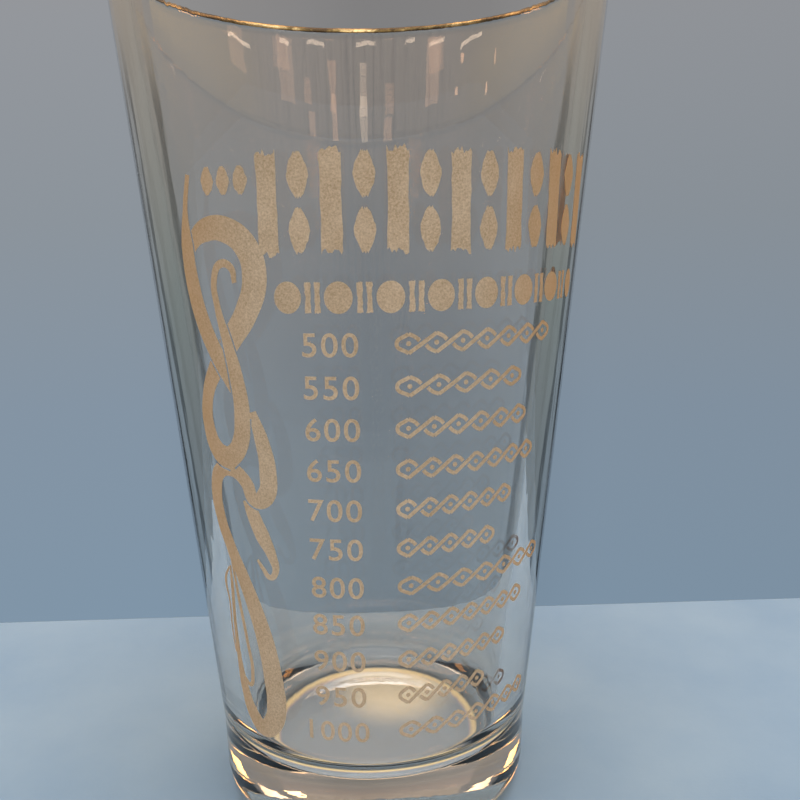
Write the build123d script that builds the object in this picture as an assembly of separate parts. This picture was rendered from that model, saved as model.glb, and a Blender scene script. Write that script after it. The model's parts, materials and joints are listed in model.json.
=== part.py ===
from build123d import *
import os
from math import asin, atan2, cos, pi, sin

# Pressed conical pint glass with a fired gold line on its lip. Millimetres.
# Z is the glass's axis, z = 0 the plane it stands on, +Z towards the mouth.

HEIGHT = 152.4        # foot to the crest of the gold line
RIM_R = 44.45         # widest radius, at the lip
HEEL_R = 29.8         # outside radius just above the corner of the foot
HEEL_TOP_R = 30.1     # outside radius where the heel turns into the cone
HEEL_TOP_Z = 13.5
HEEL_BLEND_R = 25.0   # soft turn from heel to cone
CORNER_R = 5.0        # rounded bottom corner
FOOT_IN_R = 22.0      # inner edge of the flat ring it stands on
PUNT_H = 1.2          # how far the underside domes up inside that ring

LIP_THICK = 3.6       # wall at the full-round lip
WALL_FOOT_R = 24.4    # inside radius of the cone where it would meet the floor
FLOOR_Z = 11.2        # top of the thick base
FLOOR_FILLET_R = 8.0  # inside corner between floor and wall

GILT_THICK = 0.08     # drawn thickness of the gold film
GILT_HALF_ANGLE = 60  # degrees of the lip's round covered on each side of its crest

LIP_R = LIP_THICK / 2
LIP_C = (RIM_R - LIP_R, HEIGHT - GILT_THICK - LIP_R)   # centre of the lip's round


def lip_point(radius, degrees):
    """Point (r, z) on a circle about the lip's centre, 0 degrees at the outside, 90 at the crest."""
    a = degrees * pi / 180
    return (LIP_C[0] + radius * cos(a), LIP_C[1] + radius * sin(a))


def touch_lip(r, z, side):
    """Where a straight wall from (r, z) touches the lip's round; side +1 outside, -1 inside."""
    dr, dz = LIP_C[0] - r, LIP_C[1] - z
    along = atan2(dz, dr) - side * asin(LIP_R / (dr * dr + dz * dz) ** 0.5)
    return (LIP_C[0] + side * LIP_R * sin(along), LIP_C[1] - side * LIP_R * cos(along))


def upright(face):
    """A face drawn in (r, z) stood up on the XZ plane."""
    return Plane.XZ * face


def glass_body():
    """Foot, heel, conical wall, lip and floor as one turned solid."""
    wall_out = touch_lip(HEEL_TOP_R, HEEL_TOP_Z, +1)
    wall_in = touch_lip(WALL_FOOT_R, FLOOR_Z, -1)
    corner_mid = (HEEL_R - CORNER_R * (1 - sin(pi / 4)), CORNER_R * (1 - cos(pi / 4)))
    outline = [
        ThreePointArc((-FOOT_IN_R, 0), (0, PUNT_H), (FOOT_IN_R, 0)).trim(0.5, 1),
        Line((FOOT_IN_R, 0), (HEEL_R - CORNER_R, 0)),
        ThreePointArc((HEEL_R - CORNER_R, 0), corner_mid, (HEEL_R, CORNER_R)),
        Line((HEEL_R, CORNER_R), (HEEL_TOP_R, HEEL_TOP_Z)),
        Line((HEEL_TOP_R, HEEL_TOP_Z), wall_out),
        ThreePointArc(wall_out, lip_point(LIP_R, 90), wall_in),
        Line(wall_in, (WALL_FOOT_R, FLOOR_Z)),
        Line((WALL_FOOT_R, FLOOR_Z), (0, FLOOR_Z)),
        Line((0, FLOOR_Z), (0, PUNT_H)),
    ]
    face = make_face(outline)
    for (r, z), radius in (((WALL_FOOT_R, FLOOR_Z), FLOOR_FILLET_R), ((HEEL_TOP_R, HEEL_TOP_Z), HEEL_BLEND_R)):
        corner = face.vertices().sort_by_distance((r, z, 0))[0]
        face = fillet(corner, radius)
    return revolve(upright(face), Axis.Z, 360)


def gilt_rim():
    """Thin gold film that lies on the crest of the lip."""
    low, high = 90 - GILT_HALF_ANGLE, 90 + GILT_HALF_ANGLE
    skin = LIP_R + GILT_THICK
    outline = [
        ThreePointArc(lip_point(LIP_R, low), lip_point(LIP_R, 90), lip_point(LIP_R, high)),
        Line(lip_point(LIP_R, high), lip_point(skin, high)),
        ThreePointArc(lip_point(skin, high), lip_point(skin, 90), lip_point(skin, low)),
        Line(lip_point(skin, low), lip_point(LIP_R, low)),
    ]
    return revolve(upright(make_face(outline)), Axis.Z, 360)


NODES = {
    "glass_body": glass_body,
    "gilt_rim": gilt_rim,
}

os.makedirs("parts", exist_ok=True)
for name, make in NODES.items():
    export_step(make(), f"parts/{name}.step")
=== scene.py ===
"""A conical pint glass, fired with a gold line and sand-etched on one side, on a pale blue table.

Lengths in the classes are millimetres, as on a maker's drawing, and become metres when a piece is
put in place. Z is the glass's axis and z = 0 is the plane it stands on. The etching faces -Y.
"""
import json
import logging
import math
import random
from dataclasses import dataclass, field
from enum import Enum
from typing import Callable, Iterable, Sequence

import bmesh
import bpy
from mathutils import Matrix, Vector

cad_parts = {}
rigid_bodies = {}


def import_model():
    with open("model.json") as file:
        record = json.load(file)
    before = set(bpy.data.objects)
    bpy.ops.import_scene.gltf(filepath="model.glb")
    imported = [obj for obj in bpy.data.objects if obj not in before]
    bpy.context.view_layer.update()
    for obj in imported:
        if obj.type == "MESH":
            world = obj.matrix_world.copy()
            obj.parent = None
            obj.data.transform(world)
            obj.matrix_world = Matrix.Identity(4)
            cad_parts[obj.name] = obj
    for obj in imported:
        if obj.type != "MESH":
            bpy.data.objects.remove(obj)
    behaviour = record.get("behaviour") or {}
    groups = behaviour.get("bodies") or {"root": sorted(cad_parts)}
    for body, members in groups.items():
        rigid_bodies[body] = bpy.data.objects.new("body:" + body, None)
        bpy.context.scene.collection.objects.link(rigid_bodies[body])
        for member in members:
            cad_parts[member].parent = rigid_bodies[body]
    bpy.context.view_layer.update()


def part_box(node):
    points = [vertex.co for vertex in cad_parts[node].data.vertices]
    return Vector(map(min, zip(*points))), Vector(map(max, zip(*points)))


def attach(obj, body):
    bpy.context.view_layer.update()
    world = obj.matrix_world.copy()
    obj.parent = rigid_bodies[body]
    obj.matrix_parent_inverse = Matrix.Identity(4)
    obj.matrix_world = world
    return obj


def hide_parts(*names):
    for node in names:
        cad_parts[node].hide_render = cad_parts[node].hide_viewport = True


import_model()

logging.basicConfig(level=logging.INFO, format="%(message)s")
log = logging.getLogger("pint_glass")

MM = 0.001
Point = tuple[float, float]
Strand = Sequence[tuple[float, float, float]]
Tones = tuple[tuple[float, str], ...]


# ---------------------------------------------------------------- hand tools


def drop_all() -> None:
    """Leave edit mode and select nothing."""
    if bpy.context.object is not None and bpy.context.object.mode != "OBJECT":
        bpy.ops.object.mode_set(mode="OBJECT")
    for thing in bpy.context.view_layer.objects:
        thing.select_set(False)


def take(*pieces: bpy.types.Object) -> None:
    """Select these pieces only, the first of them active.

    Args:
        pieces: what to pick up.
    """
    drop_all()
    for piece in pieces:
        piece.select_set(True)
    bpy.context.view_layer.objects.active = pieces[0]


def edit(piece: bpy.types.Object) -> None:
    """Open a piece in edit mode with all of it selected.

    Args:
        piece: the piece to work on.
    """
    take(piece)
    bpy.ops.object.mode_set(mode="EDIT")
    bpy.ops.mesh.select_all(action="SELECT")


def close() -> None:
    """Leave edit mode."""
    bpy.ops.object.mode_set(mode="OBJECT")


def named(name: str) -> bpy.types.Object:
    """Name the piece just made.

    Args:
        name: the new name.

    Returns:
        The piece.
    """
    piece = bpy.context.object
    piece.name = name
    piece.data.name = name
    return piece


def joined(name: str, pieces: Sequence[bpy.types.Object]) -> bpy.types.Object:
    """Join pieces into one.

    Args:
        name: name of the whole.
        pieces: the pieces, which are used up.

    Returns:
        The joined piece.
    """
    take(*pieces)
    if len(pieces) > 1:
        bpy.ops.object.join()
    return named(name)


def copied(piece: bpy.types.Object, shift: Point) -> bpy.types.Object:
    """Copy a flat motif, with its own mesh, and slide it.

    Args:
        piece: the motif.
        shift: how far to slide it in x and y.

    Returns:
        The copy.
    """
    take(piece)
    bpy.ops.object.duplicate(linked=False)
    copy = bpy.context.object
    edit(copy)
    bpy.ops.transform.translate(value=(shift[0], shift[1], 0))
    close()
    return copy


def lin(code: str) -> tuple[float, float, float, float]:
    """Turn an sRGB hex colour into linear light.

    Args:
        code: a colour such as "#b9aa90".

    Returns:
        Linear red, green, blue and an alpha of 1.
    """
    parts = [int(code[i : i + 2], 16) / 255 for i in (1, 3, 5)]
    r, g, b = (c / 12.92 if c <= 0.04045 else ((c + 0.055) / 1.055) ** 2.4 for c in parts)
    return (r, g, b, 1.0)


def node(
    tree: bpy.types.NodeTree, kind: str, settings: dict | None = None, links: dict | None = None
) -> bpy.types.Node:
    """Add a node, set it and link it.

    Args:
        tree: the node tree.
        kind: the node's type name.
        settings: attributes or unlinked inputs by name; "stops" fills a colour ramp.
        links: the sockets that feed its inputs, by input name or number.

    Returns:
        The node.
    """
    made = tree.nodes.new(kind)
    for key, value in (settings or {}).items():
        if key == "stops":
            ramp = made.color_ramp.elements
            while len(ramp) > 1:
                ramp.remove(ramp[-1])
            ramp[0].position, ramp[0].color = value[0][0], lin(value[0][1])
            for place, colour in value[1:]:
                ramp.new(place).color = lin(colour)
        elif isinstance(key, int) or key in made.inputs:
            made.inputs[key].default_value = value
        else:
            setattr(made, key, value)
    for key, socket in (links or {}).items():
        tree.links.new(socket, made.inputs[key])
    return made


def fresh_material(name: str) -> tuple[bpy.types.Material, bpy.types.NodeTree, bpy.types.Node]:
    """Start a material.

    Args:
        name: the material's name.

    Returns:
        The material, its tree and its Principled shader.
    """
    made = bpy.data.materials.new(name)
    made.use_nodes = True
    tree = made.node_tree
    return made, tree, tree.nodes["Principled BSDF"]


# ------------------------------------------------------------------ finishes


@dataclass(frozen=True)
class PressedGlass:
    """Soda-lime glass, pressed and fire-polished: clear, faintly grey, very slightly wavy."""

    ior: float = 1.52
    tint: str = "#f7f1eb"
    body: str = "#d7dfd8"  # what the metal takes from light on its way through
    dense: float = 8.0
    ripple_mm: float = 3.2  # width of the up-and-down ripples that the mould leaves
    ripple_deep: float = 0.018  # mm

    def material(self) -> bpy.types.Material:
        """Make the finish.

        Returns:
            The material.
        """
        made, tree, shader = fresh_material("soda_lime_glass_pressed")
        shader.inputs["Base Color"].default_value = lin(self.tint)
        shader.inputs["Transmission Weight"].default_value = 1.0
        shader.inputs["IOR"].default_value = self.ior
        # long paths through the wall and the foot come out darker and a little green
        soak = node(tree, "ShaderNodeVolumeAbsorption", {"Color": lin(self.body), "Density": self.dense})
        tree.links.new(soak.outputs["Volume"], tree.nodes["Material Output"].inputs["Volume"])
        place = node(tree, "ShaderNodeTexCoord").outputs["Object"]
        wide = 1000 / self.ripple_mm
        # upright ripples, drawn out along the height, give the long soft streaks in the reflections
        stretch = node(tree, "ShaderNodeMapping", {"Scale": (wide, wide, wide * 0.06)}, {"Vector": place})
        ripples = node(
            tree, "ShaderNodeTexNoise", {"Scale": 1.0, "Detail": 2.0, "Roughness": 0.6},
            {"Vector": stretch.outputs["Vector"]},
        )
        bump = node(
            tree, "ShaderNodeBump", {"Strength": 1.0, "Distance": self.ripple_deep * MM},
            {"Height": ripples.outputs["Fac"]},
        )
        tree.links.new(bump.outputs["Normal"], shader.inputs["Normal"])
        # a dry film of water marks takes the polish off in faint patches
        marks = node(
            tree, "ShaderNodeTexNoise", {"Scale": 1000 / 14.0, "Detail": 4.0, "Roughness": 0.65},
            {"Vector": place},
        )
        haze = node(
            tree, "ShaderNodeMapRange", {"From Min": 0.5, "From Max": 0.8, "To Min": 0.0, "To Max": 0.05},
            {"Value": marks.outputs["Fac"]},
        )
        tree.links.new(haze.outputs["Result"], shader.inputs["Roughness"])
        return made


@dataclass(frozen=True)
class FiredGold:
    """Bright gold, brushed on the lip and fired: thin, warm, a little worn and streaked."""

    # dark and bright stops: partly wear, partly painted reflection of dark and bright surroundings
    wear_and_dark_reflection: str = "#41331f"
    body: str = "#6f5c36"
    bright: str = "#d6bb86"
    streak_mm: float = 1.1

    def material(self) -> bpy.types.Material:
        """Make the finish.

        Returns:
            The material.
        """
        made, tree, shader = fresh_material("bright_gold_brushed_and_fired")
        shader.inputs["Metallic"].default_value = 1.0
        place = node(tree, "ShaderNodeTexCoord").outputs["Object"]
        # brush marks about a millimetre long; the dark and bright patches are part wear, part painted
        # reflection
        marks = node(
            tree, "ShaderNodeTexNoise", {"Scale": 1000 / self.streak_mm, "Detail": 3.0, "Roughness": 0.6},
            {"Vector": place},
        )
        patches = node(tree, "ShaderNodeTexNoise", {"Scale": 1000 / 9.0, "Detail": 2.0}, {"Vector": place})
        both = node(
            tree, "ShaderNodeMix", {"data_type": "FLOAT", 0: 0.7},
            {2: marks.outputs["Fac"], 3: patches.outputs["Fac"]},
        )
        ramp = node(
            tree, "ShaderNodeValToRGB",
            {"stops": ((0.40, self.wear_and_dark_reflection), (0.50, self.body), (0.62, self.bright))},
            {"Fac": both.outputs[0]},
        )
        tree.links.new(ramp.outputs["Color"], shader.inputs["Base Color"])
        rough = node(
            tree, "ShaderNodeMapRange", {"From Min": 0.3, "From Max": 0.7, "To Min": 0.34, "To Max": 0.16},
            {"Value": marks.outputs["Fac"]},
        )
        tree.links.new(rough.outputs["Result"], shader.inputs["Roughness"])
        bump = node(
            tree, "ShaderNodeBump", {"Strength": 0.5, "Distance": 0.01 * MM},
            {"Height": marks.outputs["Fac"]},
        )
        tree.links.new(bump.outputs["Normal"], shader.inputs["Normal"])
        return made


@dataclass(frozen=True)
class SandEtched:
    """Glass blasted with fine grit through a stencil: a matt, grainy, warm grey-white."""

    dim: str = "#c6aa84"
    pale: str = "#f8e0c0"
    warm: str = "#d9a569"
    grit_mm: float = 0.32  # real grit is near 0.1 mm; drawn coarser so that it shows

    def material(self) -> bpy.types.Material:
        """Make the finish.

        Returns:
            The material.
        """
        made, tree, shader = fresh_material("soda_lime_glass_sand_etched")
        shader.inputs["Roughness"].default_value = 0.85
        shader.inputs["Alpha"].default_value = 0.93
        place = node(tree, "ShaderNodeTexCoord").outputs["Object"]
        grit = node(
            tree, "ShaderNodeTexNoise", {"Scale": 1000 / self.grit_mm, "Detail": 3.0, "Roughness": 0.7},
            {"Vector": place},
        )
        # the blast passes unevenly, so the white is thicker in some places
        passes = node(tree, "ShaderNodeTexNoise", {"Scale": 1000 / 7.0, "Detail": 2.0}, {"Vector": place})
        blend = node(
            tree, "ShaderNodeMath", {"operation": "MULTIPLY_ADD", 1: 0.35},
            {0: passes.outputs["Fac"], 2: grit.outputs["Fac"]},
        )
        ramp = node(
            tree, "ShaderNodeValToRGB", {"stops": ((0.44, self.dim), (0.86, self.pale))},
            {"Fac": blend.outputs["Value"]},
        )
        # drawn yellower towards the sides, as frost looks under warm side light
        across = node(tree, "ShaderNodeSeparateXYZ", links={"Vector": place})
        aside = node(tree, "ShaderNodeMath", {"operation": "ABSOLUTE"}, {0: across.outputs["X"]})
        warmth = node(
            tree, "ShaderNodeMapRange", {"From Min": 17.0 * MM, "From Max": 32.0 * MM, "To Max": 0.7},
            {"Value": aside.outputs["Value"]},
        )
        frost = node(
            tree, "ShaderNodeMix", {"data_type": "RGBA", 7: lin(self.warm)},
            {0: warmth.outputs["Result"], 6: ramp.outputs["Color"]},
        )
        tree.links.new(frost.outputs[2], shader.inputs["Base Color"])
        bump = node(
            tree, "ShaderNodeBump", {"Strength": 0.6, "Distance": 0.05 * MM},
            {"Height": grit.outputs["Fac"]},
        )
        tree.links.new(bump.outputs["Normal"], shader.inputs["Normal"])
        return made


@dataclass(frozen=True)
class TableCover:
    """Pale blue sugar paper under the glass: matt, with a faint uneven weave of fibres."""

    shade: str = "#8cadcc"
    light: str = "#98b7d2"
    pool_r: float = 30.0  # mm, the radius of the foot
    pool_core: str = "#93989c"
    pool_glow: str = "#ffe9bd"
    pool_ring: str = "#ffe09a"

    def material(self) -> bpy.types.Material:
        """Make the finish.

        Returns:
            The material.
        """
        made, tree, shader = fresh_material("sugar_paper_pale_blue")
        shader.inputs["Roughness"].default_value = 0.95
        place = node(tree, "ShaderNodeTexCoord").outputs["Object"]
        cloud = node(
            tree, "ShaderNodeTexNoise", {"Scale": 1000 / 40.0, "Detail": 6.0, "Roughness": 0.6},
            {"Vector": place},
        )
        ramp = node(
            tree, "ShaderNodeValToRGB", {"stops": ((0.35, self.shade), (0.7, self.light))},
            {"Fac": cloud.outputs["Fac"]},
        )
        tree.links.new(ramp.outputs["Color"], shader.inputs["Base Color"])
        # real fibres are near 0.1 mm; drawn coarser so that they show
        fibre = node(tree, "ShaderNodeTexNoise", {"Scale": 1000 / 0.8, "Detail": 2.0}, {"Vector": place})
        bump = node(
            tree, "ShaderNodeBump", {"Strength": 0.3, "Distance": 0.1 * MM},
            {"Height": fibre.outputs["Fac"]},
        )
        tree.links.new(bump.outputs["Normal"], shader.inputs["Normal"])
        # the pool of light under the thick foot, painted on as a glow, brightest in a ring
        flat = node(tree, "ShaderNodeVectorMath", {"operation": "MULTIPLY", 1: (1.0, 1.0, 0.0)}, {0: place})
        out = node(tree, "ShaderNodeVectorMath", {"operation": "LENGTH"}, {0: flat.outputs["Vector"]})
        share = node(
            tree, "ShaderNodeMapRange", {"From Min": 0.0, "From Max": self.pool_r * MM},
            {"Value": out.outputs["Value"]},
        )
        ring = node(
            tree,
            "ShaderNodeValToRGB",
            {
                "stops": (
                    (0.70, "#000000"), (0.79, self.pool_ring), (0.82, self.pool_ring), (0.87, "#000000")
                )
            },
            {"Fac": share.outputs["Result"]},
        )
        inside = node(
            tree, "ShaderNodeMapRange", {"From Min": 0.84, "From Max": 0.76, "To Min": 0.0, "To Max": 1.0},
            {"Value": share.outputs["Result"]},
        )
        spot = node(
            tree, "ShaderNodeVectorMath", {"operation": "DISTANCE", 1: (5.0 * MM, 19.0 * MM, 0.0)},
            {0: flat.outputs["Vector"]},
        )
        glow = node(
            tree, "ShaderNodeMapRange",
            {"interpolation_type": "SMOOTHSTEP", "From Min": 18.0 * MM, "From Max": 6.0 * MM},
            {"Value": spot.outputs["Value"]},
        )
        core = node(
            tree, "ShaderNodeValToRGB", {"stops": ((0.0, self.pool_core), (1.0, self.pool_glow))},
            {"Fac": glow.outputs["Result"]},
        )
        lit = node(
            tree, "ShaderNodeMix", {"data_type": "RGBA", 6: (0.0, 0.0, 0.0, 1.0)},
            {0: inside.outputs["Result"], 7: core.outputs["Color"]},
        )
        pool = node(
            tree, "ShaderNodeMix", {"data_type": "RGBA", "blend_type": "LIGHTEN", 0: 1.0},
            {6: lit.outputs[2], 7: ring.outputs["Color"]},
        )
        tree.links.new(pool.outputs[2], shader.inputs["Emission Color"])
        shader.inputs["Emission Strength"].default_value = 0.9
        return made


# ----------------------------------------------------------------- the glass


class Wall(Enum):
    """Which face of the wall."""

    OUTER = 1
    INNER = -1


@dataclass
class Glass:
    """The turned body: foot ring, thick floor, cone and full-round lip."""

    height: float
    rim_r: float
    gilt_thick: float = 0.08
    heel_r: float = 29.8
    heel_top: Point = (30.1, 13.5)
    heel_blend: float = 25.0
    corner_r: float = 5.0
    foot_in_r: float = 22.0
    punt_h: float = 1.2
    lip_thick: float = 3.6
    floor_corner: Point = (24.4, 11.2)
    floor_fillet: float = 8.0
    turns: int = 256

    @classmethod
    def from_frame(cls) -> "Glass":
        """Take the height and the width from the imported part.

        Returns:
            The glass at its real size.
        """
        low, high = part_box("glass_body")
        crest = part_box("gilt_rim")[1].z
        return cls(height=(crest - low.z) / MM, rim_r=(high.x - low.x) / 2 / MM)

    @property
    def lip_r(self) -> float:
        """Radius of the lip's round."""
        return self.lip_thick / 2

    @property
    def lip_centre(self) -> Point:
        """Centre of the lip's round, as (r, z)."""
        return (self.rim_r - self.lip_r, self.height - self.gilt_thick - self.lip_r)

    def lip_tangent(self, start: Point, wall: Wall) -> Point:
        """Where a straight wall meets the lip's round.

        Args:
            start: the wall's lower end.
            wall: which face of the wall.

        Returns:
            The point (r, z).
        """
        dr, dz = self.lip_centre[0] - start[0], self.lip_centre[1] - start[1]
        reach = wall.value * self.lip_r
        along = math.atan2(dz, dr) - math.asin(reach / math.hypot(dr, dz))
        return (self.lip_centre[0] + reach * math.sin(along), self.lip_centre[1] - reach * math.cos(along))

    def wall_radius(self, z: float) -> float:
        """Outside radius of the cone.

        Args:
            z: height in mm.

        Returns:
            The radius in mm.
        """
        (r0, z0), (r1, z1) = self.heel_top, self.lip_tangent(self.heel_top, Wall.OUTER)
        return r0 + (r1 - r0) * (z - z0) / (z1 - z0)

    @staticmethod
    def arc(centre: Point, radius: float, start: float, end: float, steps: int) -> list[Point]:
        """Points of an arc in (r, z), angles in radians."""
        return [
            (
                centre[0] + radius * math.cos(start + (end - start) * i / steps),
                centre[1] + radius * math.sin(start + (end - start) * i / steps),
            )
            for i in range(steps + 1)
        ]

    def rounded(self, before: Point, corner: Point, after: Point, radius: float, steps: int) -> list[Point]:
        """Round a corner of the outline.

        Args:
            before: a point on the run that comes in.
            corner: the sharp corner.
            after: a point on the run that goes out.
            radius: radius of the round.
            steps: how many straight steps draw it.

        Returns:
            Its points in order.
        """
        into = (Vector(before) - Vector(corner)).normalized()
        out = (Vector(after) - Vector(corner)).normalized()
        angle = into.angle(out)
        centre = Vector(corner) + (into + out).normalized() * radius / math.sin(angle / 2)
        first = Vector(corner) + into * radius / math.tan(angle / 2)
        last = Vector(corner) + out * radius / math.tan(angle / 2)
        start = math.atan2(first.y - centre.y, first.x - centre.x)
        end = math.atan2(last.y - centre.y, last.x - centre.x)
        turn = (end - start + math.pi) % (2 * math.pi) - math.pi
        return self.arc(tuple(centre), radius, start, start + turn, steps)

    def outline(self) -> list[Point]:
        """Draw half of the section, from the middle of the underside to the middle of the floor.

        Returns:
            Points (r, z) in mm.
        """
        wall_out, wall_in = self.lip_tangent(self.heel_top, Wall.OUTER), self.lip_tangent(
            self.floor_corner, Wall.INNER
        )
        dome = (self.foot_in_r**2 + self.punt_h**2) / (2 * self.punt_h)
        edge = math.asin(self.foot_in_r / dome)
        points = self.arc((0, self.punt_h - dome), dome, math.pi / 2, math.pi / 2 - edge, 16)
        points += self.arc((self.heel_r - self.corner_r, self.corner_r), self.corner_r, -math.pi / 2, 0, 14)
        points += self.rounded((self.heel_r, self.corner_r), self.heel_top, wall_out, self.heel_blend, 8)
        start = math.atan2(wall_out[1] - self.lip_centre[1], wall_out[0] - self.lip_centre[0])
        end = math.atan2(wall_in[1] - self.lip_centre[1], wall_in[0] - self.lip_centre[0]) % (2 * math.pi)
        points += self.arc(self.lip_centre, self.lip_r, start, end, 20)
        points += self.rounded(wall_in, self.floor_corner, (0, self.floor_corner[1]), self.floor_fillet, 16)
        points.append((0, self.floor_corner[1]))
        return self.steadied(points)

    @staticmethod
    def steadied(points: Sequence[Point]) -> list[Point]:
        """Put close rings at the ends of each long run, so that smooth shading stays true along it.

        Args:
            points: the outline.

        Returns:
            The outline with the extra points.
        """
        out = [points[0]]
        for a, b in zip(points, points[1:]):
            long = math.dist(a, b)
            if long > 3:
                count = int(long / 4) + 2
                shares = sorted(
                    {
                        0.15 / long,
                        0.5 / long,
                        1 - 0.5 / long,
                        1 - 0.15 / long,
                        *(k / count for k in range(1, count)),
                    }
                )
                out += [(a[0] + (b[0] - a[0]) * s, a[1] + (b[1] - a[1]) * s) for s in shares]
            out.append(b)
        return out

    def turned(self, name: str, outline: Sequence[Point]) -> bpy.types.Object:
        """Turn an outline round the axis.

        Args:
            name: the piece's name.
            outline: points (r, z) in mm, drawn so that the material is on the right going up.

        Returns:
            The turned piece, closed and smooth.
        """
        drop_all()
        bpy.ops.mesh.primitive_plane_add(size=MM, location=(outline[0][0] * MM, 0, outline[0][1] * MM))
        piece = named(name)
        bpy.ops.object.transform_apply(location=True, rotation=False, scale=False)
        edit(piece)
        bpy.ops.mesh.merge(type="CENTER")
        for (r0, z0), (r1, z1) in zip(outline, outline[1:]):
            bpy.ops.mesh.extrude_vertices_move(
                TRANSFORM_OT_translate={"value": ((r1 - r0) * MM, 0, (z1 - z0) * MM)}
            )
        bpy.ops.mesh.select_all(action="SELECT")
        bpy.ops.mesh.spin(steps=self.turns, angle=2 * math.pi, center=(0, 0, 0), axis=(0, 0, 1))
        bpy.ops.mesh.select_all(action="SELECT")
        bpy.ops.mesh.remove_doubles(threshold=1e-6)
        bpy.ops.mesh.normals_make_consistent(inside=False)
        close()
        bpy.ops.object.shade_smooth()
        return piece

    def build(self) -> bpy.types.Object:
        """Turn the body.

        Returns:
            The body.
        """
        return self.turned("glass_body_turned", self.outline())

    def dress(self, piece: bpy.types.Object) -> None:
        """Give the body its finish and its place in the frame.

        Args:
            piece: the body.
        """
        piece.data.materials.append(PressedGlass().material())
        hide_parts("glass_body")
        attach(piece, "root")


@dataclass
class GoldLine:
    """The gold band on the crest of the lip, laid by brush, so its edges wander a little."""

    glass: Glass
    half_angle: float = 59.0
    inner_angle: float = 74.0  # it runs further down on the inside
    thick: float = 0.075
    wander: float = 2.5  # degrees of the lip's round
    seed: int = 7

    def outline(self) -> list[Point]:
        """Draw the film's section.

        Returns:
            A closed ring of points (r, z) in mm.
        """
        low, high = math.radians(90 - self.half_angle), math.radians(90 + self.inner_angle)
        outer = Glass.arc(self.glass.lip_centre, self.glass.lip_r + self.thick, low, high, 16)
        inner = Glass.arc(self.glass.lip_centre, self.glass.lip_r + 0.004, high, low, 16)
        return outer + inner + outer[:1]

    def build(self) -> bpy.types.Object:
        """Turn the film and let its two edges wander.

        Returns:
            The film.
        """
        piece = self.glass.turned("gold_line_fired", self.outline())
        centre = self.glass.lip_centre
        rng = random.Random(self.seed)
        waves = [
            (k, rng.uniform(0, 2 * math.pi), rng.uniform(0.4, 1.0) / k**0.5) for k in (2, 3, 5, 9, 14, 23)
        ]
        for v in piece.data.vertices:
            r, z = math.hypot(v.co.x, v.co.y) / MM, v.co.z / MM
            round_angle = math.degrees(math.atan2(z - centre[1], r - centre[0])) - 90
            around = math.atan2(v.co.y, v.co.x)
            side = 1 if round_angle > 0 else -1
            shift = sum(w * math.sin(k * around + p + side) for k, p, w in waves) / 3 * self.wander
            turned = math.radians(
                90 + round_angle * (
                    1 - abs(self.wander) / self.half_angle
                ) + shift * abs(round_angle) / self.half_angle
            )
            off = math.hypot(r - centre[0], z - centre[1])
            new_r, new_z = (
                centre[0] + off * math.cos(turned)
            ) * MM, (centre[1] + off * math.sin(turned)) * MM
            v.co = (new_r * math.cos(around), new_r * math.sin(around), new_z)
        return piece

    def dress(self, piece: bpy.types.Object) -> None:
        """Give the line its finish and its place in the frame.

        Args:
            piece: the film.
        """
        piece.data.materials.append(FiredGold().material())
        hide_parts("gilt_rim")
        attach(piece, "root")


# --------------------------------------------------------------- the etching


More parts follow.
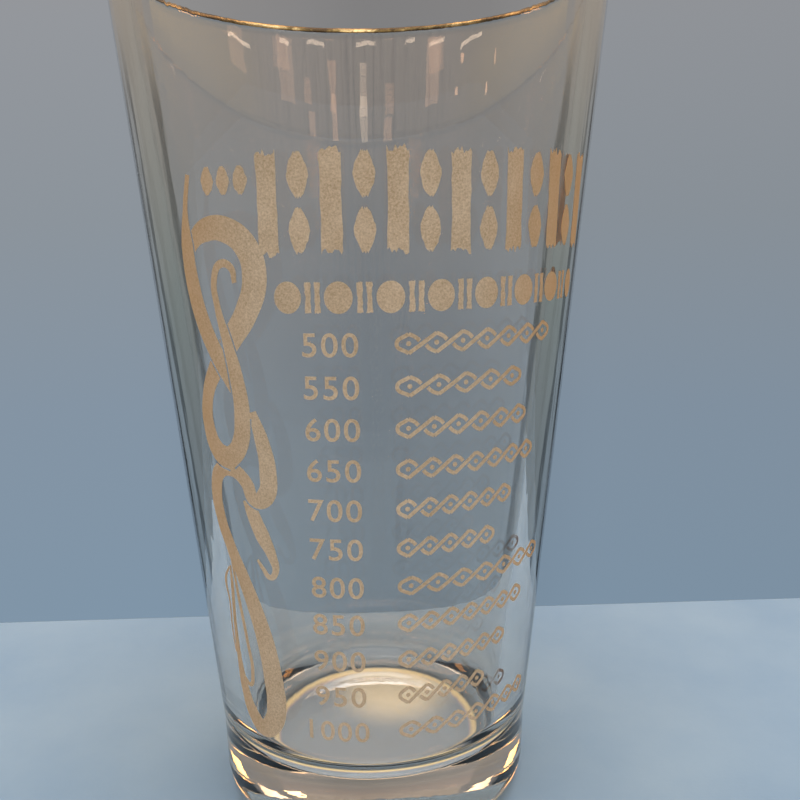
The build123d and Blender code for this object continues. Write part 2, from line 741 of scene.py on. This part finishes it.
@dataclass
class Etching:
    """The sand-etched side. Motifs are laid out flat, x along the wall and y up it, then wrapped."""

    glass: Glass
    skin_low: float = 0.012
    skin_high: float = 0.055
    slice_wide: float = 1.5
    row_top: float = 89.7  # foot of the first row of numbers
    row_step: float = 6.7
    first_number: int = 500
    number_step: int = 50
    digit_tall: float = 3.75
    beads_height: float = 98.8
    hairline: float = 0.34  # left clear on each side of a ribbon that passes over
    seed: int = 11
    rng: random.Random = field(init=False)

    def __post_init__(self) -> None:
        """Start the seeded hand."""
        self.rng = random.Random(self.seed)

    # -- flat motifs

    def raised(self, piece: bpy.types.Object) -> bpy.types.Object:
        """Give a flat motif a thickness of 1.

        Args:
            piece: a flat motif at z = 0.

        Returns:
            The same piece, closed.
        """
        edit(piece)
        bpy.ops.mesh.extrude_region_move(TRANSFORM_OT_translate={"value": (0, 0, 1)})
        bpy.ops.mesh.select_all(action="SELECT")
        bpy.ops.mesh.normals_make_consistent(inside=False)
        close()
        return piece

    def rough_slab(
        self, centre: Point, wide: float, tall: float, waist: float, tear: float
    ) -> bpy.types.Object:
        """Cut an upright slab with torn ends, as if hewn.

        Args:
            centre: its middle.
            wide: width at the ends.
            tall: height.
            waist: share of the width left at mid-height; above 1 it swells.
            tear: how deep the ends are torn.

        Returns:
            The slab.
        """
        drop_all()
        bpy.ops.mesh.primitive_plane_add(size=1, location=(0, 0, 0))
        piece = named("slab")
        edit(piece)
        bpy.ops.transform.resize(value=(wide, tall, 1))
        bpy.ops.mesh.subdivide(number_cuts=9)
        mesh = bmesh.from_edit_mesh(piece.data)
        for v in mesh.verts:
            up = abs(v.co.y) / (tall / 2)
            v.co.x *= 1 + (waist - 1) * (1 - up**1.6)
            if up > 0.999:
                v.co.y += self.rng.uniform(-tear, tear * 0.4) * (1 if v.co.y > 0 else -1)
            if abs(v.co.x) > 0.42 * wide * min(1.0, waist):
                v.co.x += self.rng.uniform(-0.09, 0.09)
                v.co.y += self.rng.uniform(-0.1, 0.1)
        bmesh.update_edit_mesh(piece.data)
        bpy.ops.transform.translate(value=(centre[0], centre[1], 0))
        close()
        return self.raised(piece)

    def disc(self, centre: Point, wide: float, tall: float, corners: int = 28) -> bpy.types.Object:
        """Cut an oval.

        Args:
            centre: its middle.
            wide: full width.
            tall: full height.
            corners: how many corners its edge has.

        Returns:
            The motif.
        """
        drop_all()
        bpy.ops.mesh.primitive_circle_add(
            vertices=corners, radius=0.5, fill_type="NGON", location=(0, 0, 0)
        )
        piece = named("disc")
        edit(piece)
        bpy.ops.transform.resize(value=(wide, tall, 1))
        bpy.ops.transform.translate(value=(centre[0], centre[1], 0))
        close()
        return self.raised(piece)

    def strand(
        self, path: Strand, grow: float = 0.0, tall: tuple[float, float] = (0.0, 1.0)
    ) -> bpy.types.Object:
        """Lay a flat ribbon along a path.

        Args:
            path: its points as (x, y, width).
            grow: extra width, for a cutter.
            tall: its lower and upper z.

        Returns:
            The ribbon, closed.
        """
        drop_all()
        data = bpy.data.curves.new("strand", "CURVE")
        data.dimensions = "3D"
        data.twist_mode = "Z_UP"
        data.resolution_u = 10
        line = data.splines.new("BEZIER")
        line.bezier_points.add(len(path) - 1)
        for point, (x, y, wide) in zip(line.bezier_points, path):
            point.co = (x, y, 0)
            point.handle_left_type = point.handle_right_type = "AUTO"
            point.radius = wide + grow
        blade = bpy.data.curves.new("blade", "CURVE")
        blade.dimensions = "3D"
        cut = blade.splines.new("POLY")
        cut.points.add(1)
        cut.points[0].co, cut.points[1].co = (-0.5, 0, 0, 1), (0.5, 0, 0, 1)
        blade_piece = bpy.data.objects.new("blade", blade)
        bpy.context.scene.collection.objects.link(blade_piece)
        data.bevel_mode = "OBJECT"
        data.bevel_object = blade_piece
        piece = bpy.data.objects.new("strand", data)
        bpy.context.scene.collection.objects.link(piece)
        take(piece)
        bpy.ops.object.convert(target="MESH")
        piece = bpy.context.object
        bpy.data.objects.remove(blade_piece)
        edit(piece)
        bpy.ops.transform.translate(value=(0, 0, tall[0]))
        bpy.ops.mesh.extrude_region_move(TRANSFORM_OT_translate={"value": (0, 0, tall[1] - tall[0])})
        bpy.ops.mesh.select_all(action="SELECT")
        bpy.ops.mesh.normals_make_consistent(inside=False)
        close()
        return piece

    def pass_under(self, piece: bpy.types.Object, over: Strand, gap: float) -> None:
        """Cut a ribbon where another passes over it, with a hairline on each side.

        Args:
            piece: the ribbon that passes under.
            over: the stretch of path that passes over.
            gap: width of the hairline.
        """
        cutter = self.strand(over, grow=2 * gap, tall=(-1.0, 2.0))
        take(piece)
        cut = piece.modifiers.new("under", "BOOLEAN")
        cut.operation, cut.solver, cut.object = "DIFFERENCE", "EXACT", cutter
        bpy.ops.object.modifier_apply(modifier=cut.name)
        bpy.data.objects.remove(cutter)

    # -- wrapping

    def wrapped(self, piece: bpy.types.Object) -> bpy.types.Object:
        """Slice a flat motif into upright strips and bend it round the wall.

        Args:
            piece: the flat motif.

        Returns:
            The same piece, in place on the glass.
        """
        edit(piece)
        bpy.ops.mesh.quads_convert_to_tris()
        xs = [v.co.x for v in bmesh.from_edit_mesh(piece.data).verts]
        place = math.floor(min(xs) / self.slice_wide) * self.slice_wide
        while place < max(xs):
            bpy.ops.mesh.select_all(action="SELECT")
            bpy.ops.mesh.bisect(plane_co=(place, 0, 0), plane_no=(1, 0, 0))
            place += self.slice_wide
        bpy.ops.mesh.select_all(action="SELECT")
        bpy.ops.mesh.remove_doubles(threshold=0.001)
        bpy.ops.mesh.quads_convert_to_tris()
        close()
        for v in piece.data.vertices:
            wall = self.glass.wall_radius(v.co.y)
            around = v.co.x / wall
            out = (wall + (self.skin_high if v.co.z > 0.5 else self.skin_low)) * MM
            v.co = (math.sin(around) * out, -math.cos(around) * out, v.co.y * MM)
        take(piece)
        bpy.ops.object.shade_smooth_by_angle(angle=math.radians(30))
        return piece

    # -- the fields of the design

    def frieze(self) -> bpy.types.Object:
        """Cut upright hewn slabs with pairs of lozenges between them, the widest band of the design.

        Returns:
            The frieze, in place.
        """
        motifs = []
        start, step, middle = -14.6, 9.72, 112.7
        for k in range(7):
            place = (start + step * k, middle + 0.12 * (k % 3))
            motifs.append(self.rough_slab(place, wide=3.3, tall=15.2, waist=0.94, tear=0.9))
            if k < 6:
                for off in (4.0, -4.0):
                    place = (start + step * (k + 0.5), middle + off)
                    motifs.append(self.rough_slab(place, wide=0.9, tall=6.6, waist=3.6, tear=0.3))
        return self.wrapped(joined("etched_frieze", motifs))

    def beading(self) -> bpy.types.Object:
        """Cut beads and pairs of reels in a row under the frieze.

        Returns:
            The row, in place.
        """
        motifs, x = [], -12.0
        for _ in range(7):
            motifs.append(self.disc((x, self.beads_height), 4.3, 4.9))
            for k in (0, 1):
                motifs.append(
                    self.rough_slab(
                        (x + 3.2 + 1.45 * k, self.beads_height), wide=0.95, tall=4.7, waist=0.8, tear=0.1
                    )
                )
            x += 7.8
        motifs.append(self.disc((x - 0.2, self.beads_height), 3.0, 4.9))
        return self.wrapped(joined("etched_beading", motifs))

    def lozenges(self) -> bpy.types.Object:
        """Cut three small lozenges before the frieze.

        Returns:
            The lozenges, in place.
        """
        places = ((x, 116.2) for x in (-25.2, -22.1, -19.0))
        motifs = [self.rough_slab(place, wide=0.6, tall=4.2, waist=4.2, tear=0.1) for place in places]
        return self.wrapped(joined("etched_lozenges", motifs))

    def numbers(self) -> bpy.types.Object:
        """Set a column of plain numbers, 500 to 1000 by fifties.

        Returns:
            The numbers, in place.
        """
        made = []
        for row in range(11):
            drop_all()
            bpy.ops.object.text_add(location=(0, 0, 0))
            text = bpy.context.object
            text.data.body = str(self.first_number + self.number_step * row)
            text.data.size = 4.9
            text.data.space_character = 1.12
            text.data.extrude = 0.5
            text.data.offset = 0.04
            bpy.ops.object.convert(target="MESH")
            piece = named("number")
            edit(piece)
            bpy.ops.mesh.remove_doubles(threshold=0.0005)
            bpy.ops.mesh.normals_make_consistent(inside=False)
            close()
            xs = [v.co.x for v in piece.data.vertices]
            ys = [v.co.y for v in piece.data.vertices]
            wide = 8.6 if row < 10 else 10.4
            left = -10.0 if row < 10 else -11.4
            edit(piece)
            bpy.ops.transform.translate(value=(-min(xs), -min(ys), 0.5))
            bpy.ops.transform.resize(
                value=(wide / (max(xs) - min(xs)), self.digit_tall / (max(ys) - min(ys)), 1),
                center_override=(0, 0, 0),
            )
            bpy.ops.transform.translate(value=(left, self.row_height(row), 0))
            close()
            made.append(piece)
        return self.wrapped(joined("etched_numbers", made))

    def row_height(self, row: int) -> float:
        """Height of a row's foot, in mm."""
        return self.row_top - self.row_step * row

    def plaits(self) -> bpy.types.Object:
        """Lay a short two-strand plait beside each number, of varying length.

        Returns:
            The plaits, in place.
        """
        lobes = (7, 5, 6, 7, 6, 5, 7, 7, 6, 5, 7)
        ends = (34.9, 27.3, 28.9, 31.4, 25.7, 22.0, 36.0, 30.2, 25.4, 20.4, 33.5)
        made = []
        for row, (count, end) in enumerate(zip(lobes, ends)):
            made += self.plait((4.0, self.row_height(row) + 1.9), end - 4.0, count)
        return self.wrapped(joined("etched_plaits", made))

    def plait(self, start: Point, long: float, lobes: int) -> list[bpy.types.Object]:
        """Twist two thin strands, each crossing cut for the strand below.

        Args:
            start: left end, at mid-height.
            long: full length.
            lobes: how many eyes it has.

        Returns:
            Its pieces.
        """
        pitch, tall, wide, clear, bead_wide = long / lobes, 1.5, 0.62, 0.62, 0.8
        over = self.strand([(-pitch / 2, -tall, wide), (0, 0, wide * 1.05), (pitch / 2, tall, wide)])
        lead = math.hypot(pitch / 2, tall)
        cut_x, cut_y = pitch / 2 * clear / lead, tall * clear / lead
        left = self.strand(
            [(-pitch / 2, tall, wide), (-pitch / 4, tall * 0.62, wide), (-cut_x, cut_y, wide)]
        )
        right = self.strand(
            [(cut_x, -cut_y, wide), (pitch / 4, -tall * 0.62, wide), (pitch / 2, -tall, wide)]
        )
        bead = self.disc((pitch / 2, 0), bead_wide, bead_wide, corners=12)
        cell = joined("cell", [over, left, right, bead])
        parts = [copied(cell, (start[0] + pitch * (k + 1), start[1])) for k in range(lobes - 1)]
        bpy.data.objects.remove(cell)
        left_end, right_end = start[0] + pitch / 2, start[0] + pitch * (lobes - 0.5)
        for end, bulge in ((left_end, -pitch * 0.42), (right_end, pitch * 0.42)):
            turn = [
                (end, start[1] + tall, wide), (end + bulge, start[1], wide), (end, start[1] - tall, wide)
            ]
            parts.append(self.strand(turn))
        parts.append(self.disc((left_end, start[1]), bead_wide, bead_wide, corners=12))
        return parts

    def interlace(self) -> bpy.types.Object:
        """Lay a broad ribbon that loops through itself down the left side, with thin trailing ends.

        Each point of a strand is (x, y, width).

        Returns:
            The interlace, in place.
        """
        paths: dict[str, Strand] = {
            "arm": [
                (-29.4, 117.3, 0.9), (-30.7, 112.0, 1.1), (-31.0, 106.5, 3.0), (-30.3, 100.0, 3.4),
                (-28.4, 94.0, 3.4), (-25.4, 88.6, 3.2), (-22.4, 84.2, 2.8), (-19.9, 80.3, 0.5),
            ],
            "loop": [
                (-31.2, 103.6, 1.6), (-29.4, 107.0, 2.6), (-26.4, 108.9, 3.6), (-22.4, 109.0, 4.0),
                (-18.6, 106.4, 4.2), (-17.4, 101.6, 4.3), (-19.2, 96.4, 4.1), (-22.6, 91.8, 3.8),
                (-26.2, 87.2, 3.2), (-29.0, 82.0, 2.7), (-29.4, 76.8, 3.0), (-27.2, 72.6, 3.8),
                (-24.2, 71.8, 4.0),
            ],
            "rise": [
                (-25.0, 71.6, 3.6), (-22.4, 74.2, 3.4), (-21.3, 79.6, 3.2), (-22.0, 86.0, 2.8),
                (-23.4, 91.6, 2.0), (-24.9, 97.0, 1.3), (-25.2, 101.4, 1.2), (-23.6, 103.8, 1.3),
                (-21.6, 103.2, 1.2), (-21.1, 100.9, 0.8),
            ],
            "fall": [
                (-19.3, 80.4, 1.6), (-17.8, 76.0, 2.6), (-16.9, 70.6, 3.2), (-17.7, 66.2, 3.3),
                (-19.8, 65.4, 2.6), (-21.4, 68.2, 2.6), (-24.2, 70.0, 2.6), (-27.4, 69.3, 2.8),
                (-28.9, 65.6, 2.9), (-28.3, 60.6, 2.7), (-26.2, 55.6, 2.7), (-23.6, 50.4, 3.1),
                (-21.2, 44.8, 3.5), (-19.3, 38.6, 3.9), (-18.2, 32.0, 4.1), (-17.9, 27.4, 4.2),
                (-18.9, 23.6, 3.9), (-21.2, 21.8, 3.5), (-23.6, 23.6, 3.1), (-25.4, 27.8, 2.3),
                (-26.5, 34.0, 1.2), (-26.9, 41.0, 0.8), (-26.8, 48.0, 0.8), (-26.9, 52.0, 0.4),
            ],
            "leaf": [
                (-21.2, 65.2, 2.4), (-20.2, 62.4, 2.8), (-18.7, 59.2, 3.0), (-17.0, 55.8, 1.9),
                (-16.5, 53.0, 1.2), (-17.6, 51.9, 1.0), (-18.9, 53.2, 0.8), (-20.0, 54.7, 0.5),
            ],
            "short_end": [
                (-26.3, 53.0, 0.5), (-25.2, 46.0, 0.7), (-23.8, 38.0, 0.7), (-23.1, 32.0, 0.8),
                (-24.0, 29.6, 0.8), (-25.2, 30.6, 0.5),
            ],
            "hair": [
                (-27.3, 51.6, 0.35), (-28.6, 49.0, 0.6), (-28.0, 45.0, 0.35), (-27.9, 39.0, 0.3),
                (-27.4, 35.0, 0.3),
            ],
        }
        made = {name: self.strand(path) for name, path in paths.items()}
        # each row: the ribbon below, the one above, and the stretch of it that crosses
        for below, above, stretch in (
            ("loop", "arm", slice(0, 7)),
            ("loop", "rise", slice(3, 7)),
            ("arm", "rise", slice(1, 5)),
            ("fall", "rise", slice(0, 3)),
            ("fall", "loop", slice(-4, None)),
            ("leaf", "fall", slice(2, 6)),
        ):
            self.pass_under(made[below], paths[above][stretch], self.hairline)
        return self.wrapped(joined("etched_interlace", list(made.values())))

    def build(self) -> list[bpy.types.Object]:
        """Cut every field of the design.

        Returns:
            The etched pieces, in place.
        """
        fields: Iterable[Callable[[], bpy.types.Object]] = (
            self.frieze, self.beading, self.lozenges, self.numbers, self.plaits, self.interlace
        )
        return [make() for make in fields]

    def dress(self, pieces: Sequence[bpy.types.Object]) -> None:
        """Give the etched pieces their finish and their place in the frame.

        Args:
            pieces: the etched pieces, in place.
        """
        finish = SandEtched().material()
        for piece in pieces:
            piece.data.materials.clear()
            piece.data.materials.append(finish)
            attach(piece, "root")


# ----------------------------------------------------------------- the studio


@dataclass(frozen=True)
class Panel:
    """A soft lamp that faces the glass from a direction."""

    name: str
    turn: float  # degrees from straight ahead (+Y), to the right
    rise: float  # degrees above the table
    wide: float  # degrees it spans, seen from the glass
    tall: float
    bright: float  # radiance
    colour: str
    far: float = 1.4  # metres

    def hang(self) -> None:
        """Hang the lamp. It doesn't show to the camera directly, only in the glass."""
        turn, rise = math.radians(self.turn), math.radians(self.rise)
        data = bpy.data.lights.new(self.name, "AREA")
        data.shape = "RECTANGLE"
        data.size, data.size_y = (
            2 * self.far * math.tan(math.radians(a / 2)) for a in (self.wide, self.tall)
        )
        data.energy = self.bright * math.pi * data.size * data.size_y
        data.color = lin(self.colour)[:3]
        lamp = bpy.data.objects.new(self.name, data)
        out = Vector((math.sin(turn) * math.cos(rise), math.cos(turn) * math.cos(rise), math.sin(rise)))
        lamp.location = out * self.far + Vector((0, 0, 0.08))
        lamp.rotation_euler = (-out).to_track_quat("-Z", "Y").to_euler()
        lamp.visible_camera = False
        bpy.context.scene.collection.objects.link(lamp)


@dataclass(frozen=True)
class Room:
    """Tones of the room round the table, by direction. Each is a row of (place, colour)."""

    backdrop: Tones = (
        (0.30, "#8095a8"), (0.40, "#8494a4"), (0.50, "#8c949c"), (0.60, "#94979c"), (0.68, "#9b9590"),
        (0.80, "#ab9c94"), (0.92, "#c9b59c"),
    )
    # a painted shadow of the glass: the backdrop darker straight behind it
    backdrop_painted_shadow: Tones = (
        (0.42, "#ffffff"), (0.48, "#f6f6f6"), (0.50, "#eeeeee"), (0.55, "#eeeeee"), (0.58, "#f8f8f8")
    )
    sides: Tones = (
        (0.32, "#707c84"), (0.41, "#7b8688"), (0.517, "#949490"), (0.60, "#a39a90"), (0.63, "#b3a184"),
        (0.648, "#ffdf9c"), (0.675, "#ffdf9c"), (0.70, "#a09488"), (0.80, "#8e8784"), (0.88, "#8b8684"),
        (0.95, "#c4c4c4"),
    )
    gap: Tones = ((0.155, "#6a6a6a"), (0.165, "#484848"), (0.180, "#484848"), (0.195, "#ffffff"))
    ceiling: Tones = (
        (0.35, "#7f8080"), (0.48, "#7c7872"), (0.54, "#8c8176"), (0.60, "#dcc6ae"), (0.70, "#ffecd8"),
        (0.80, "#efe0cf"), (0.93, "#c9c9c9"),
    )
    stripes: Tones = ((0.36, "#8a817b"), (0.44, "#e9e4e0"), (0.51, "#ffffff"))
    viewer: Tones = ((0.75, "#d8d8d8"), (0.90, "#808080"), (1.0, "#686868"))

    def build(self) -> None:
        """Make a pale backdrop with a dark gap at its edges, gold-lit sides and a warm ceiling behind."""
        world = bpy.data.worlds.new("room")
        bpy.context.scene.world = world
        world.use_nodes = True
        tree = world.node_tree
        way = node(tree, "ShaderNodeTexCoord").outputs["Generated"]
        parts = node(tree, "ShaderNodeSeparateXYZ", links={"Vector": way})
        up = node(
            tree, "ShaderNodeMapRange", {"From Min": -1.0, "From Max": 1.0}, {"Value": parts.outputs["Z"]}
        ).outputs["Result"]
        turn = node(
            tree, "ShaderNodeMath", {"operation": "ARCTAN2"}, {0: parts.outputs["X"], 1: parts.outputs["Y"]}
        ).outputs["Value"]
        across = node(
            tree, "ShaderNodeMapRange", {"From Min": -math.pi / 2, "From Max": math.pi / 2}, {"Value": turn}
        ).outputs["Result"]
        away = node(tree, "ShaderNodeMath", {"operation": "ABSOLUTE"}, {0: turn}).outputs["Value"]
        share = node(
            tree, "ShaderNodeMath", {"operation": "DIVIDE", 1: math.pi}, {0: away}
        ).outputs["Value"]
        # upright things in the room behind the viewer show as long soft streaks in the glass
        upright = node(
            tree, "ShaderNodeTexNoise",
            {"noise_dimensions": "1D", "Scale": 24.0, "Detail": 4.0, "Roughness": 0.7}, {"W": turn},
        ).outputs["Fac"]
        guides = {
            "backdrop": up,
            "backdrop_painted_shadow": across,
            "sides": up,
            "gap": share,
            "ceiling": up,
            "stripes": upright,
            "viewer": share,
        }
        tone = {
            name: node(
                tree, "ShaderNodeValToRGB", {"stops": getattr(self, name)}, {"Fac": guide}
            ).outputs["Color"]
            for name, guide in guides.items()
        }
        # each row: what the result is called and the two tones that are multiplied for it
        for result, first, second in (
            ("backdrop", "backdrop", "backdrop_painted_shadow"),
            # the backdrop times the painted shadow of the glass
            ("gap", "sides", "gap"),
            ("viewer", "ceiling", "viewer"),
            ("ceiling", "ceiling", "stripes"),
        ):
            tone[result] = node(
                tree, "ShaderNodeMix", {"data_type": "RGBA", "blend_type": "MULTIPLY", 0: 1.0},
                {6: tone[first], 7: tone[second]},
            ).outputs[2]
        # each row: the guide, where the first tone turns to the second, the two, and the result
        for guide, low, high, first, second, result in (
            (parts.outputs["Z"], 0.04, 0.16, "gap", "sides", "sides"),
            (parts.outputs["Z"], 0.15, 0.30, "viewer", "ceiling", "ceiling"),
            (share, 95 / 180, 130 / 180, "sides", "ceiling", "room"),
            (share, 27 / 180, 29 / 180, "backdrop", "room", "whole"),
        ):
            step = node(
                tree, "ShaderNodeMapRange",
                {"interpolation_type": "SMOOTHSTEP", "From Min": low, "From Max": high}, {"Value": guide},
            )
            tone[result] = node(
                tree, "ShaderNodeMix", {"data_type": "RGBA"},
                {0: step.outputs["Result"], 6: tone[first], 7: tone[second]},
            ).outputs[2]
        back = tree.nodes["Background"]
        tree.links.new(tone["whole"], back.inputs["Color"])
        back.inputs["Strength"].default_value = 1.0


@dataclass
class Studio:
    """Table, backdrop, lamps and camera."""

    table_back: float = 70.0
    table_thick: float = 20.0
    eye: tuple[float, float, float] = (0.0, -171.0, 110.7)
    aim: tuple[float, float, float] = (2.09, 8.55, -0.86)  # degrees to the right, down and rolled
    lens: float = 40.275
    shift_up: float = -0.0625

    def table(self) -> bpy.types.Object:
        """Make the table, its top just under the foot.

        Returns:
            The table.
        """
        drop_all()
        bpy.ops.mesh.primitive_cube_add(size=1, location=(0, 0, 0))
        piece = named("table")
        edit(piece)
        bpy.ops.transform.resize(value=(3.0, 1.0 + self.table_back * MM, self.table_thick * MM))
        bpy.ops.transform.translate(
            value=(0, (self.table_back * MM - 1.0) / 2, -self.table_thick * MM / 2 - 0.05 * MM)
        )
        bpy.ops.mesh.bevel(offset=0.0015, segments=3)
        close()
        piece.data.materials.append(TableCover().material())
        return piece

    def lamps(self) -> None:
        """Hang the lamps: an overhead one, soft ones, and small ones that show as streaks in the glass."""
        peach, cream = "#ffc79c", "#ffe6cc"
        # name, degrees round, degrees up, degrees wide and tall, brightness, colour
        panels = [
            Panel("lamp_overhead", 90, 88, 40, 40, 2.6, "#eef3ff"),
            Panel("lamp_back", 0, 55, 70, 14, 3.0, "#ffd3a6"),
            Panel("lamp_back_left", -60, 31, 14, 8, 9.0, "#ffb45e"),
            Panel("lamp_back_right", 60, 31, 14, 8, 9.0, "#ffb45e"),
            Panel("lamp_back_small", 25, 38, 6, 5, 4.0, "#ffc993"),
            Panel("lamp_viewer_side", 180, 50, 90, 16, 1.2, "#ffe9d6"),
            Panel("tall_right", 225, 23.9, 8, 4.6, 2.6, peach),
            Panel("tall_left", 132, 24.0, 9, 4.4, 2.0, peach),
            Panel("tall_far_left", 100, 24.4, 9, 4.2, 1.8, peach),
            Panel("tall_a", 162, 21.4, 3.4, 3.6, 3.4, peach),
            Panel("tall_b", 180.5, 21.3, 4, 3.7, 4.0, cream),
            Panel("tall_c", 196, 20.5, 5, 2.1, 2.6, peach),
            Panel("tall_d", 147, 20.8, 4, 1.8, 2.4, peach),
            Panel("spark_a", 241, 21.8, 1.5, 0.6, 9.0, peach),
            Panel("spark_b", 263, 20.6, 1.2, 0.9, 9.0, peach),
        ]
        # a row of thin dashes close under the lip
        for turn, wide in ((102, 12), (132, 5), (152, 10), (182.5, 10), (210, 6), (228, 9), (250, 14)):
            panels.append(
                Panel(f"dash_{turn:.0f}", turn, 26.75 - 0.0004 * (turn - 180) ** 2, wide, 0.3, 8.0, cream)
            )
        for panel in panels:
            panel.hang()

    def camera(self) -> bpy.types.Object:
        """Set the camera at the viewer's eye.

        Returns:
            The camera.
        """
        yaw, pitch, roll = (math.radians(a) for a in self.aim)
        ahead = Vector((math.sin(yaw) * math.cos(pitch), math.cos(yaw) * math.cos(pitch), -math.sin(pitch)))
        level = ahead.cross(Vector((0, 0, 1))).normalized()
        rise = level.cross(ahead)
        right = math.cos(roll) * level + math.sin(roll) * rise
        top = -math.sin(roll) * level + math.cos(roll) * rise
        data = bpy.data.cameras.new("camera")
        data.sensor_width, data.lens, data.shift_y = 36.0, self.lens, self.shift_up
        data.clip_start, data.clip_end = 0.001, 20.0
        eye = bpy.data.objects.new("camera", data)
        bpy.context.scene.collection.objects.link(eye)
        stand = Matrix((right, top, -ahead)).transposed().to_4x4()
        stand.translation = Vector(self.eye) * MM
        eye.matrix_world = stand
        bpy.context.scene.camera = eye
        return eye

    def build(self) -> None:
        """Set the whole studio up."""
        self.table()
        Room().build()
        self.lamps()
        self.camera()
        bpy.context.scene.view_settings.view_transform = "Standard"


def main() -> None:
    """Build the glass, its gold line and its etching in order."""
    glass = Glass.from_frame()
    body = glass.build()
    glass.dress(body)
    line = GoldLine(glass)
    gold = line.build()
    line.dress(gold)
    etching = Etching(glass)
    etched = etching.build()
    etching.dress(etched)
    Studio().build()
    for piece in (body, gold, *etched):
        log.info("%s: %d faces", piece.name, len(piece.data.polygons))


if __name__ == "__main__":
    main()
